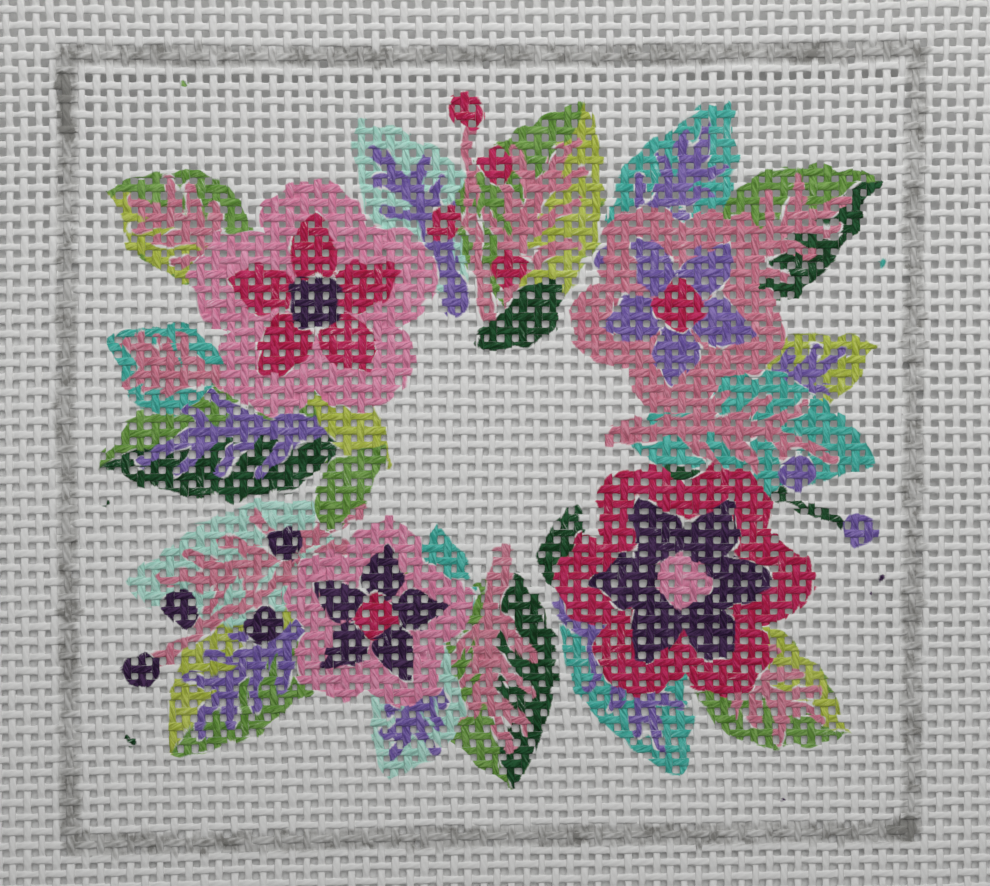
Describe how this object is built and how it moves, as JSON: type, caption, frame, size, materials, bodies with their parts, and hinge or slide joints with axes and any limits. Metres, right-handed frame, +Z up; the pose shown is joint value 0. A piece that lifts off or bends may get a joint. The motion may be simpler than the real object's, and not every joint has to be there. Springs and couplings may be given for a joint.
{
  "type": "painted needlepoint canvas",
  "caption": "Square piece of open plain-weave cotton needlepoint canvas, painted with flowers and leaves inside a drawn border, its edges bound with folded tape.",
  "frame": {"origin": "middle of the canvas's footprint, on the table", "axes": "+Z up, out of the painted side; +X along the wefts to the picture's right; +Y towards the picture's top, the end that curls up"},
  "size_m": [0.194, 0.1902, 0.0146],
  "materials": {
    "canvas_cotton": "sized white cotton thread, matte, with matte acrylic paint on the picture's threads",
    "binding_tape": "plain folded cotton tape, matte"
  },
  "bodies": {
    "root": {"warp_threads": "canvas_cotton", "weft_threads": "canvas_cotton", "tape_front": "binding_tape", "tape_back": "binding_tape", "tape_left": "binding_tape", "tape_right": "binding_tape"}
  },
  "joints": []
}
